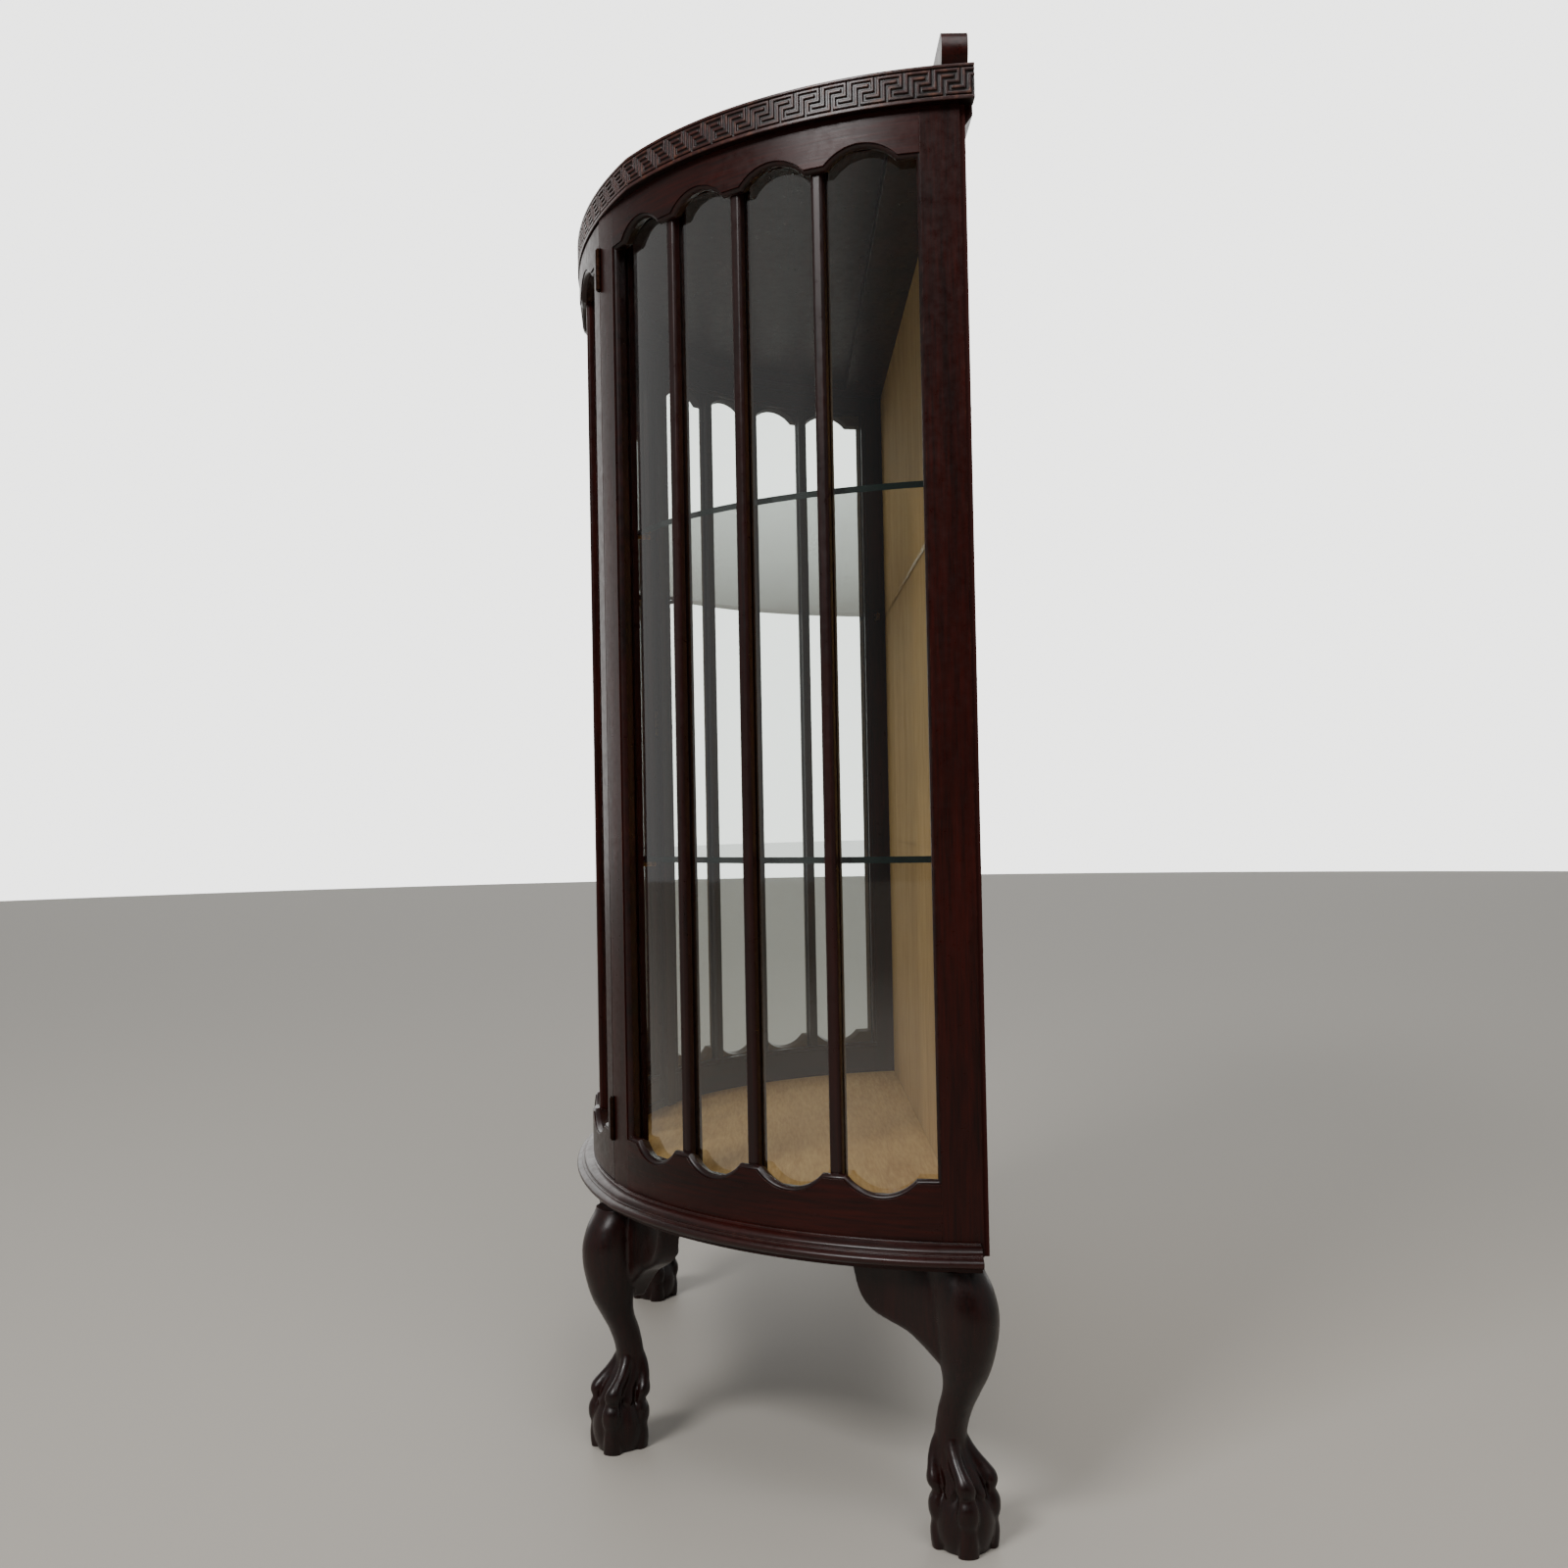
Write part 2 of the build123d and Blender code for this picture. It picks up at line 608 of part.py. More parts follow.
peg_radius = 2.5
peg_angles = (28.0, 80.6)
with BuildPart() as shelf_pegs:
    for height in shelf_heights:
        for angle in peg_angles:
            for flip in (1, -1):
                x, y = polar(side_centre, side_radius - frame_depth - 0.2, angle)
                inward = Vector(-sin(radians(angle)) * flip, cos(radians(angle)), 0)
                start = Vector(x * flip, y, height - peg_radius)
                with BuildSketch(Plane(origin=start, z_dir=inward)):
                    Circle(peg_radius)
                extrude(amount=17)
keep("shelf_pegs", shelf_pegs.part)

# ---- Legs: a cabriole curve in a vertical plane, a ball foot, and shaped ears -------------------
# height, offset of the section's centre outwards, radius
leg_sections = ((243, -6, 25), (225, 2, 27), (205, 6, 28.5), (185, 6.5, 27.5), (165, 5.5, 24.5),
                (150, 4.5, 20.5), (135, 0, 17), (118, -7.5, 15.3), (98, -13, 14.2), (84, -13.5, 14.6),
                (72, -10, 18.5), (60, -3, 25), (45, 0, 29), (28, 0, 29.5), (12, -0.5, 27.5), (0, -1, 22))
ear_length = 72.0
ear_thickness = 24.0
ear_inset = 4.0


def leg_at(x, y, heading):
    """A cabriole leg: heading is the plan angle of its knee, from straight forward to the right."""
    ox, oy = sin(radians(heading)), -cos(radians(heading))
    with BuildPart() as made:
        for height, out, radius in leg_sections:
            with BuildSketch(Plane.XY.offset(height)):
                with Locations((x + ox * out, y + oy * out)):
                    Circle(radius)
        loft()
    return made.part


def ear(start_angle, sweep_sign, leg):
    """A shaped bracket beside a leg, under the outline, cut to fit the knee."""
    a = polar(side_centre, side_radius - ear_inset, start_angle)
    b = polar(side_centre, side_radius - ear_inset, start_angle + sweep_sign * 5)
    along = Vector(b[0] - a[0], b[1] - a[1], 0).normalized()
    with BuildPart() as made:
        # local x runs away from the leg and local y is up
        face = Plane(origin=(a[0], a[1], 0), x_dir=along, z_dir=along.cross(Vector(0, 0, 1)))
        with BuildSketch(face):
            with BuildLine():
                Line((0, leg_height), (ear_length, leg_height))
                Spline((ear_length, leg_height), (ear_length - 5, 217), (ear_length - 16, 201),
                       (ear_length - 31, 192), (ear_length - 46, 186), (14, 176), (0, 162))
                Line((0, 162), (0, leg_height))
            make_face()
        inward = Vector(side_x - a[0], side_y - a[1], 0)
        amount = ear_thickness if face.z_dir.dot(inward) > 0 else -ear_thickness
        extrude(amount=amount)
        add(leg, mode=Mode.SUBTRACT)
    biggest = made.part.solids().sort_by(SortBy.VOLUME)[-1]
    return Part([biggest]) if len(made.part.solids()) > 1 else made.part


back_leg = (473.6, 178.6, 135.0)
front_leg = (243.0, -147.0, 33.0)
keep("leg_back_right", leg_at(*back_leg))
keep("leg_front_right", leg_at(*front_leg))
keep("ear_back_right", ear(77.0, -1, pieces["leg_back_right"]))
keep("ear_front_right_side", ear(28.0, 1, pieces["leg_front_right"]))
front_ear_angle = 23.0
keep("ear_front_right_door", ear(front_ear_angle, -1, pieces["leg_front_right"]))
for name in ("leg_back", "leg_front", "ear_back"):
    keep(f"{name}_left", mirrored(pieces[f"{name}_right"]))
keep("ear_front_left_side", mirrored(pieces["ear_front_right_side"]))
keep("ear_front_left_door", mirrored(pieces["ear_front_right_door"]))

print("pieces", len(pieces))
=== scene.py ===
"""Looks of a bow-fronted china cabinet: carved key band, base moulding, cabriole legs with
claw-and-ball feet, sticking round the glazed openings, and the finishes of every piece.

Everything is in metres in the cabinet's own frame: +Z up, +X to the right of someone facing
the door, +Y towards the wall, with the origin on the floor under the middle of the cabinet."""
import json
from math import asin, atan2, ceil, cos, hypot, pi, radians, sin, sqrt

import bpy
from mathutils import Matrix, Vector


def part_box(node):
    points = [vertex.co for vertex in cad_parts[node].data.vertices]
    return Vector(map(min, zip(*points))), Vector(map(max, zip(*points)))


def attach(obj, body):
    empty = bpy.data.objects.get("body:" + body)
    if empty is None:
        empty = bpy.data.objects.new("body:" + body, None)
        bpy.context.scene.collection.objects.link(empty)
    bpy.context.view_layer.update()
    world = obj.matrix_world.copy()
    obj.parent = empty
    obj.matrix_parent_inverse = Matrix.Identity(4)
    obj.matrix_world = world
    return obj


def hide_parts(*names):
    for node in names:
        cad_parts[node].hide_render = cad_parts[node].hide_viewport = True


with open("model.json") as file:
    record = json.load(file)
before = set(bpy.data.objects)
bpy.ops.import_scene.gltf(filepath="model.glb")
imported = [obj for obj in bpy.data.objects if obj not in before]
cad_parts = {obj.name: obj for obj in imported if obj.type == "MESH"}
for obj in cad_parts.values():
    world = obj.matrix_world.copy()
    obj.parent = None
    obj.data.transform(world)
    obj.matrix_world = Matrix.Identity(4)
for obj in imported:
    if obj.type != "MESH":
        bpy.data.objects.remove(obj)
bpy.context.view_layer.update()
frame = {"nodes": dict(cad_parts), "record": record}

bl_info = {
    "name": "Bow-fronted china cabinet",
    "version": (1, 0, 0),
    "blender": (4, 5, 0),
    "location": "View3D > Sidebar > Cabinet",
    "description": "Carved band, mouldings, claw-and-ball legs and finishes of a china cabinet",
    "category": "Object",
}

MM = 0.001

# ---- Plan of the carcass, in millimetres: an arc for each side and a flatter one for the door ----
side_radius = 441.4
side_centre = (50.0, 252.9)
seam_x = 234.6
door_bow = 45.0
seam_y = side_centre[1] - sqrt(side_radius**2 - (seam_x - side_centre[0])**2)
front_radius = (seam_x**2 + door_bow**2) / (2 * door_bow)
front_y = seam_y - door_bow + front_radius

# ---- Glazed openings ---------------------------------------------------------------------------
side_open = (29.4, 78.3)          # degrees round the side arc
side_pitch = 11.55
side_arch_width = 68.8
door_stile = 23.0
door_pitch = 103.0
door_arch_width = 85.0
scallop_rise = 15.0
glass_depth = 15.0
bar_width = 12.0
bar_back_depths = (18.2, 23.8)    # front and rear of the slips behind the glass

# ---- Legs: height, how far the middle stands out towards the knee, and radius ------------------
leg_sections = ((243, -6, 25), (225, 2, 27), (205, 6, 28.5), (185, 6.5, 27.5), (165, 5.5, 24.5),
                (150, 4.5, 20.5), (135, 0, 17), (118, -7.5, 15.3), (98, -13, 14.2),
                (84, -13.5, 14.6), (72, -10, 16), (60, -3, 18), (45, 0, 19))
back_leg = (473.6, 178.6, 135.0)
front_leg = (243.0, -147.0, 33.0)
ear_thickness = 24.0
ear_inset = 4.0
leg_top = leg_sections[0][0]
joint_lap = 3.0            # how far a leg's parts run past its top before they are cut level
ball_radius, ball_rise, ball_height = 27.0, 37.0, 22.0

# ---- Overhangs of the top band and the base moulding -------------------------------------------
rim_side = 8.5
rim_front = 1.5
rim_inset = 6.0
mould_side = 21.5
mould_front = 18.5

body = "carcass"
door = "door"


def linear(text):
    """Linear red, green and blue of an sRGB hex colour."""
    parts = [int(text[i:i + 2], 16) / 255 for i in (1, 3, 5)]
    return tuple(p / 12.92 if p <= 0.04045 else ((p + 0.055) / 1.055) ** 2.4 for p in parts)


def colour_property(name, description, text):
    return bpy.props.FloatVectorProperty(name=name, description=description, subtype="COLOR",
                                         size=3, min=0, max=1, default=linear(text))


# ---- Settings a user would change --------------------------------------------------------------
class CabinetCarving(bpy.types.PropertyGroup):
    cell: bpy.props.FloatProperty(
        name="Ridge width", description="Width of a ridge of the key pattern, and of its grooves",
        default=2.55 * MM, unit="LENGTH")
    relief: bpy.props.FloatProperty(
        name="Relief", description="Height of the key pattern above its ground",
        default=1.7 * MM, unit="LENGTH")
    sticking: bpy.props.FloatProperty(
        name="Sticking", description="Width of the moulding round a glazed opening",
        default=3.6 * MM, unit="LENGTH")
    voxel: bpy.props.FloatProperty(
        name="Carving fineness", description="Grid on which a leg's carved parts are merged",
        default=1.5 * MM, unit="LENGTH")


class CabinetColours(bpy.types.PropertyGroup):
    wood: colour_property("Mahogany", "Polished mahogany in the light", "#330c07")
    wood_dark: colour_property("Dark figure", "Dark streaks of the mahogany", "#180604")
    wood_worn: colour_property("Worn wood", "Wood where the polish is rubbed thin", "#6b3a20")
    plywood: colour_property("Plywood", "Clear-finished plywood of the back and floor", "#d4ac70")
    plywood_dark: colour_property("Plywood figure", "Darker figure of the plywood", "#b58a50")
    brass: colour_property("Brass", "Old brass of the lock and key", "#9c7a48")
    hinge: colour_property("Hinge", "Brown lacquer over the brass hinges", "#2e1c14")
    tint: colour_property("Glass edge", "Edge of the glass shelves", "#0c1c18")
    floor: colour_property("Floor", "Plain pale floor", "#b0aaa1")


def carving():
    return bpy.context.scene.cabinet_carving


def colours():
    return bpy.context.scene.cabinet_colours


# ---- Small tools for modelling -----------------------------------------------------------------
def start_fresh():
    """Leaves edit mode and deselects everything."""
    if bpy.context.mode != "OBJECT":
        bpy.ops.object.mode_set(mode="OBJECT")
    bpy.ops.object.select_all(action="DESELECT")


def name_piece(name):
    piece = bpy.context.object
    piece.name = piece.data.name = name
    return piece


def edit(piece, kind="VERT"):
    start_fresh()
    piece.select_set(True)
    bpy.context.view_layer.objects.active = piece
    bpy.ops.object.mode_set(mode="EDIT")
    bpy.ops.mesh.select_mode(type=kind)


def choose_faces(piece, test):
    """Selects the faces that pass the test, in edit mode."""
    edit(piece, "FACE")
    bpy.ops.mesh.select_all(action="DESELECT")
    bpy.ops.object.mode_set(mode="OBJECT")
    for face in piece.data.polygons:
        face.select = test(face)
    bpy.ops.object.mode_set(mode="EDIT")


def reshape(piece, place):
    """Moves each vertex to the place that a formula gives for it."""
    start_fresh()
    for vertex in piece.data.vertices:
        vertex.co = place(vertex.co)
    piece.data.update()


def modify(piece, kind, **settings):
    """Adds a modifier and applies it."""
    start_fresh()
    piece.select_set(True)
    bpy.context.view_layer.objects.active = piece
    modifier = piece.modifiers.new(kind.title(), kind)
    for key, value in settings.items():
        setattr(modifier, key, value)
    bpy.ops.object.modifier_apply(modifier=modifier.name)


def close_up(piece):
    """Merges seams, closes open ends and turns every face outwards."""
    edit(piece)
    bpy.ops.mesh.select_all(action="SELECT")
    bpy.ops.mesh.remove_doubles(threshold=0.01 * MM)
    bpy.ops.mesh.select_all(action="DESELECT")
    bpy.ops.mesh.select_non_manifold()
    bpy.ops.mesh.edge_face_add()
    bpy.ops.mesh.select_all(action="SELECT")
    bpy.ops.mesh.normals_make_consistent(inside=False)
    start_fresh()


def shade(piece, angle=35):
    start_fresh()
    piece.select_set(True)
    bpy.context.view_layer.objects.active = piece
    bpy.ops.object.shade_smooth_by_angle(angle=radians(angle))


def rolled_grid(name, around, along, place):
    """A grid of around x along faces, rolled up by place(u, v) with u and v from 0 to 1."""
    start_fresh()
    bpy.ops.mesh.primitive_grid_add(x_subdivisions=around, y_subdivisions=along, size=1)
    piece = name_piece(name)
    reshape(piece, lambda co: place(co.x + 0.5, co.y + 0.5))
    return piece


def plate(name, outline, thickness):
    """A flat plate in X and Y with the given outline, extruded up by its thickness."""
    start_fresh()
    bpy.ops.mesh.primitive_circle_add(vertices=len(outline), radius=1, fill_type="NGON")
    piece = name_piece(name)
    for vertex, point in zip(piece.data.vertices, outline):
        vertex.co = (point[0], point[1], 0)
    edit(piece, "FACE")
    bpy.ops.mesh.select_all(action="SELECT")
    bpy.ops.mesh.extrude_region_move(TRANSFORM_OT_translate={"value": (0, 0, thickness)})
    bpy.ops.mesh.select_all(action="SELECT")
    bpy.ops.mesh.normals_make_consistent(inside=False)
    return piece


def join(pieces, name):
    start_fresh()
    for piece in pieces:
        piece.select_set(True)
    bpy.context.view_layer.objects.active = pieces[0]
    bpy.ops.object.join()
    return name_piece(name)


def twin(piece, name, turn):
    """A copy with its own mesh, moved by a matrix."""
    copy = piece.copy()
    copy.data = piece.data.copy()
    copy.name = copy.data.name = name
    bpy.context.scene.collection.objects.link(copy)
    copy.data.transform(turn)
    edit(copy)
    bpy.ops.mesh.select_all(action="SELECT")
    bpy.ops.mesh.normals_make_consistent(inside=False)
    start_fresh()
    return copy


def through(points, t):
    """A point on the smooth curve through the points, with t from 0 to 1."""
    x = min(max(t, 0.0), 1.0) * (len(points) - 1)
    i = min(int(x), len(points) - 2)
    x -= i
    p = [points[min(max(k, 0), len(points) - 1)] for k in (i - 1, i, i + 1, i + 2)]
    return [0.5 * (2 * b + (c - a) * x + (2 * a - 5 * b + 4 * c - d) * x**2
                   + (3 * b - a - 3 * c + d) * x**3) for a, b, c, d in zip(*p)]


def settle(piece, body_name, slot, *nodes):
    """Tells the frame what the piece rides on and what it stands for; slot is not used."""
    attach(piece, body_name)
    if nodes:
        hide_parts(*nodes)


# ---- The plan outline, by distance along it from the middle of the door ------------------------
class Outline:
    """Outline of the carcass moved out by one amount at the sides and another at the door."""

    def __init__(self, grow_side, grow_front):
        self.side_r = side_radius + grow_side
        self.front_r = front_radius + grow_front
        gap = hypot(side_centre[0], side_centre[1] - front_y)
        along = (self.front_r**2 - self.side_r**2 + gap**2) / (2 * gap)
        across = sqrt(self.front_r**2 - along**2)
        ux, uy = side_centre[0] / gap, (side_centre[1] - front_y) / gap
        corner_x, corner_y = along * ux - across * uy, front_y + along * uy + across * ux
        self.front_length = self.front_r * asin(corner_x / self.front_r)
        self.side_start = atan2(corner_x - side_centre[0], side_centre[1] - corner_y)

    def length_to(self, y):
        """Distance along the outline from the middle of the door to a depth y behind it."""
        angle = atan2(sqrt(self.side_r**2 - (side_centre[1] - y)**2), side_centre[1] - y)
        return self.front_length + self.side_r * (angle - self.side_start)

    def at(self, distance, out, height):
        """A point beside the outline; the corner is eased over a few millimetres."""
        d, ease = abs(distance), 12.0
        front_angle = d / self.front_r
        side_angle = self.side_start + (d - self.front_length) / self.side_r
        if d <= self.front_length:
            x, y = self.front_r * sin(front_angle), front_y - self.front_r * cos(front_angle)
        else:
            x = side_centre[0] + self.side_r * sin(side_angle)
            y = side_centre[1] - self.side_r * cos(side_angle)
        share = min(max((d - self.front_length + ease) / (2 * ease), 0.0), 1.0)
        angle = front_angle * (1 - share) + side_angle * share
        x, y = x + out * sin(angle), y - out * cos(angle)
        return Vector((x if distance >= 0 else -x, y, height)) * MM


def trim_back(piece, y):
    """Cuts both ends of a band off flush at a depth y."""
    edit(piece)
    bpy.ops.mesh.select_all(action="SELECT")
    bpy.ops.mesh.bisect(plane_co=(0, y, 0), plane_no=(0, 1, 0), use_fill=True, clear_outer=True)
    start_fresh()


# ---- Carved key band ---------------------------------------------------------------------------
def key_ridges():
    """Cells (column, row) of one key: ten columns, nine rows, a ridge and a groove in turn."""
    bars = [((0, 8), (8, 8)), ((8, 4), (8, 8)), ((4, 4), (8, 4)), ((4, 0), (4, 4)),
            ((4, 0), (9, 0)), ((0, 0), (2, 0)), ((2, 0), (2, 6)), ((2, 6), (6, 6)),
            ((6, 2), (9, 2)), ((0, 2), (0, 8))]
    return {(i, j) for (a, b), (c, d) in bars for i in range(a, c + 1) for j in range(b, d + 1)}


class CABINET_OT_key_band(bpy.types.Operator):
    """Carve the key band and wrap it round the top"""
    bl_idname = "cabinet.key_band"
    bl_label = "Key band"

    def execute(self, context):
        low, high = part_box("key_frieze")
        cell, relief = carving().cell / MM, carving().relief / MM
        thickness, bead, gap = 7.5, 3.4, 1.2
        key_columns, key_rows = 10, 9
        base, top = low.z / MM, high.z / MM
        levels = [base, base + bead, base + bead + gap]
        levels += [levels[2] + cell * (k + 1) for k in range(key_rows)]
        levels += [levels[-1] + gap, top]
        outline, inner = Outline(rim_side, rim_front), Outline(-rim_inset, -rim_inset)
        half = outline.length_to(high.y / MM) + 4
        shrink = inner.length_to(high.y / MM) / outline.length_to(high.y / MM)
        columns = key_columns * ceil(2 * half / (key_columns * cell))
        rows = len(levels) - 1

        start_fresh()
        bpy.ops.mesh.primitive_grid_add(x_subdivisions=columns, y_subdivisions=rows, size=1)
        band = name_piece("carved_key_band")
        reshape(band, lambda co: Vector((co.x * columns * cell, levels[round((co.y + 0.5) * rows)],
                                         -thickness)))
        edit(band, "FACE")
        bpy.ops.mesh.select_all(action="SELECT")
        bpy.ops.mesh.extrude_region_move(
            TRANSFORM_OT_translate={"value": (0, 0, thickness - relief)})
        ridges = key_ridges()

        def raised(face):
            x, y, z = face.center
            if z < -relief - 0.1 or abs(face.normal.z) < 0.5:
                return False
            row = int((y - levels[2]) / cell)
            if levels[2] < y < levels[-2] and row < key_rows:
                return (int(x / cell + columns / 2) % key_columns, row) in ridges
            return y < levels[1] or y > levels[-2]

        choose_faces(band, raised)
        bpy.ops.mesh.extrude_region_move(TRANSFORM_OT_translate={"value": (0, 0, relief)})
        close_up(band)
        modify(band, "BEVEL", width=0.45, segments=1, limit_method="ANGLE",
               angle_limit=radians(60))
        # The relief attribute is 0 on the ground and 1 on the ridges: it marks the ridges for
        # rubbing and darkens the ground as painted shade.
        worn = band.data.attributes.new("relief", "FLOAT", "POINT")
        worn.data.foreach_set("value", [min(max(1 + v.co.z / relief, 0.0), 1.0)
                                        for v in band.data.vertices])
        reshape(band, lambda co: outline.at(co.x, co.z, co.y) if co.z > -thickness + 1
                else inner.at(co.x * shrink, 0, co.y))
        trim_back(band, high.y)
        shade(band, 30)
        band.data.materials.append(carved_mahogany())
        settle(band, body, "mahogany", "key_frieze")
        return {"FINISHED"}


# ---- Base moulding -----------------------------------------------------------------------------
moulding_rise = 18.5


def moulding_profile():
    """Points (out, up) of the moulding: fillet, broad ovolo, quirk, small bead and torus."""
    def arc(middle, across, up, angles):
        return [(middle[0] + across * sin(radians(a)), middle[1] + up * cos(radians(a)))
                for a in angles]

    return [(0.0, moulding_rise), (2.3, moulding_rise), (2.5, 17.5), (3.6, 17.2),
            *arc((4.0, 11.9), 9.4, 4.9, range(0, 91, 15)), (13.5, 10.9),
            *arc((14.9, 9.7), 1.3, 1.3, range(-20, 111, 26)),
            *arc((17.1, 4.6), 4.4, 4.0, range(10, 166, 13)), (16.4, 0.0), (0.0, 0.0)]


class CABINET_OT_base_moulding(bpy.types.Operator):
    """Run the base moulding round the carcass"""
    bl_idname = "cabinet.base_moulding"
    bl_label = "Base moulding"

    def execute(self, context):
        low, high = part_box("base_moulding")
        outline = Outline(mould_side, mould_front)
        half = outline.length_to(high.y / MM) + 4
        profile = moulding_profile()
        count = len(profile)
        rise = (high.z - low.z) / MM / moulding_rise

        def place(u, v):
            out, up = profile[round(u * count) % count]
            return outline.at((2 * v - 1) * half, out - mould_side, low.z / MM + up * rise)

        moulding = rolled_grid("swept_base_moulding", count, 200, place)
        close_up(moulding)
        trim_back(moulding, high.y)
        shade(moulding, 25)
        moulding.data.materials.append(mahogany("polished mahogany moulding", (0.05, 0.05, 1), 0.6,
                                                skin_ior=1.42))
        settle(moulding, body, "mahogany", "base_moulding")
        return {"FINISHED"}


# ---- Sticking: the small moulding worked round each glazed opening -----------------------------
def scalloped_opening(edges, arches, half_arch, low, high):
    """Outline of an opening whose rails are scalloped, anticlockwise from its lower left corner."""
    radius = (half_arch**2 + scallop_rise**2) / (2 * scallop_rise)
    reach = asin(half_arch / radius)
    steps = [reach * (k / 8 - 1) for k in range(17)]
    lower = [(middle + radius * sin(a), low - scallop_rise + radius * (1 - cos(a)))
             for middle in arches for a in steps]
    upper = [(middle - radius * sin(a), high + scallop_rise - radius * (1 - cos(a)))
             for middle in reversed(arches) for a in steps]
    return [(edges[0], low), *lower, (edges[1], low), (edges[1], high), *upper, (edges[0], high)]


def sticking(name, outline, bend):
    """A ring inside an opening: a quirk, an ovolo and a square down to the glass."""
    width = carving().sticking / MM
    set_back = 1.2
    ring = plate(name, outline, glass_depth - set_back)
    # Each step in: its share of the width, and how far it sinks
    steps = [(0.16, 0.0), (0.24, -0.35), (0.28, -0.9), (0.22, -1.5), (0.10, -2.4)]
    choose_faces(ring, lambda face: face.normal.z > 0.9)
    for share, sink in steps:
        bpy.ops.mesh.inset(thickness=share * width, depth=sink)
    choose_faces(ring, lambda face: len(face.vertices) > 8)
    bpy.ops.mesh.delete(type="FACE")
    bpy.ops.mesh.select_mode(type="EDGE")
    bpy.ops.mesh.select_all(action="DESELECT")
    bpy.ops.mesh.select_non_manifold()
    bpy.ops.mesh.bridge_edge_loops()
    bpy.ops.mesh.select_all(action="SELECT")
    bpy.ops.mesh.normals_make_consistent(inside=False)
    reshape(ring, lambda co: bend(co.x, co.y, co.z - glass_depth))
    close_up(ring)
    shade(ring, 30)
    ring.data.materials.append(mahogany("polished mahogany sticking", (0.3, 0.3, 0.3), 0.5,
                                        light=0.6, skin_ior=1.42))
    return ring


def on_arc(centre, radius):
    """Bends a flat shape round an upright arc: along it, up, and outwards."""
    return lambda along, up, out: Vector((
        centre[0] + (radius + out) * sin(along / radius),
        centre[1] - (radius + out) * cos(along / radius), up)) * MM


class CABINET_OT_sticking(bpy.types.Operator):
    """Work the small moulding round the three glazed openings"""
    bl_idname = "cabinet.sticking"
    bl_label = "Sticking"

    def execute(self, context):
        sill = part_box("bottom_rail_right")[1].z / MM
        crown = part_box("top_rail_right")[0].z / MM
        per_degree = radians(1) * side_radius
        edges = [a * per_degree for a in side_open]
        middle = sum(edges) / 2
        arches = [middle + side_pitch * per_degree * k for k in (-1.5, -0.5, 0.5, 1.5)]
        outline = scalloped_opening(edges, arches, side_arch_width / 2, sill, crown)
        right = sticking("sticking_right", outline, on_arc(side_centre, side_radius))
        left = twin(right, "sticking_left", Matrix.Diagonal((-1, 1, 1, 1)))
        half = front_radius * asin(seam_x / front_radius) - door_stile
        arches = [door_pitch * k for k in (-1.5, -0.5, 0.5, 1.5)]
        outline = scalloped_opening((-half, half), arches, door_arch_width / 2, sill, crown)
        middle = sticking("sticking_door", outline, on_arc((0, front_y), front_radius))
        for ring, body_name in ((right, body), (left, body), (middle, door)):
            settle(ring, body_name, "mahogany")
        return {"FINISHED"}


# ---- Rear halves of the glazing bars, which hold the glass from inside -------------------------
def bar_backs(name, middles, bend):
    """One flat slip behind the glass for each bar, from the lower glazing slip to the upper."""
    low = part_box("bottom_rail_right")[1].z / MM - scallop_rise
    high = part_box("top_rail_right")[0].z / MM + scallop_rise
    slips = []
    for middle in middles:
        edges = (middle - bar_width / 2, middle + bar_width / 2)
        slip = plate(f"{name}_slip", [(edges[0], low), (edges[1], low), (edges[1], high),
                                      (edges[0], high)], bar_back_depths[1] - bar_back_depths[0])
        reshape(slip, lambda co: bend(co.x, co.y, co.z - bar_back_depths[1]))
        slips.append(slip)
    whole = join(slips, name)
    shade(whole, 30)
    whole.data.materials.append(bar_mahogany())
    return whole


class CABINET_OT_bar_backs(bpy.types.Operator):
    """Stand a flat slip behind the glass at each glazing bar"""
    bl_idname = "cabinet.bar_backs"
    bl_label = "Rear halves of the bars"

    def execute(self, context):
        per_degree = radians(1) * side_radius
        middle = sum(side_open) / 2 * per_degree
        steps = (-1, 0, 1)
        right = bar_backs("bar_backs_right", [middle + side_pitch * per_degree * k for k in steps],
                          on_arc(side_centre, side_radius))
        left = twin(right, "bar_backs_left", Matrix.Diagonal((-1, 1, 1, 1)))
        front = bar_backs("bar_backs_door", [door_pitch * k for k in steps],
                          on_arc((0, front_y), front_radius))
        for slips, body_name in ((right, body), (left, body), (front, door)):
            settle(slips, body_name, "mahogany")
        return {"FINISHED"}


# ---- Legs --------------------------------------------------------------------------------------
def leg_section(height):
    """How far out the middle of a leg's section stands, and its radius, at a height."""
    heights = [s[0] for s in leg_sections]
    for k in range(len(heights) - 1):
        if heights[k] >= height >= heights[k + 1]:
            t = (k + (heights[k] - height) / (heights[k] - heights[k + 1])) / (len(heights) - 1)
            return through([s[1:] for s in leg_sections], t)
    return leg_sections[0][1:] if height > heights[0] else leg_sections[-1][1:]


def shin():
    """The curved post of a leg, with a soft crest down the front of its knee."""
    foot, top = leg_sections[-1][0], leg_top + joint_lap

    def place(u, v):
        height = foot + (top - foot) * v
        out, radius = leg_section(height)
        angle = 2 * pi * u
        knee = max(0.0, sin(pi * min(max((height - 140) / 110, 0), 1)))
        crest = 1 + 0.05 * knee * max(0.0, cos(angle)) ** 8 - 0.02 * cos(4 * angle)
        return Vector((radius * crest * sin(angle), out + radius * crest * cos(angle), height))

    piece = rolled_grid("shin", 40, 70, place)
    close_up(piece)
    return piece


def ball():
    """The ball in the claws, a little taller than it is wide."""
    start_fresh()
    bpy.ops.mesh.primitive_uv_sphere_add(segments=40, ring_count=24, radius=ball_radius,
                                         location=(0, 0, ball_height),
                                         scale=(1, 1, ball_rise / ball_radius))
    piece = name_piece("ball")
    bpy.ops.object.transform_apply(location=True, rotation=False, scale=True)
    return piece


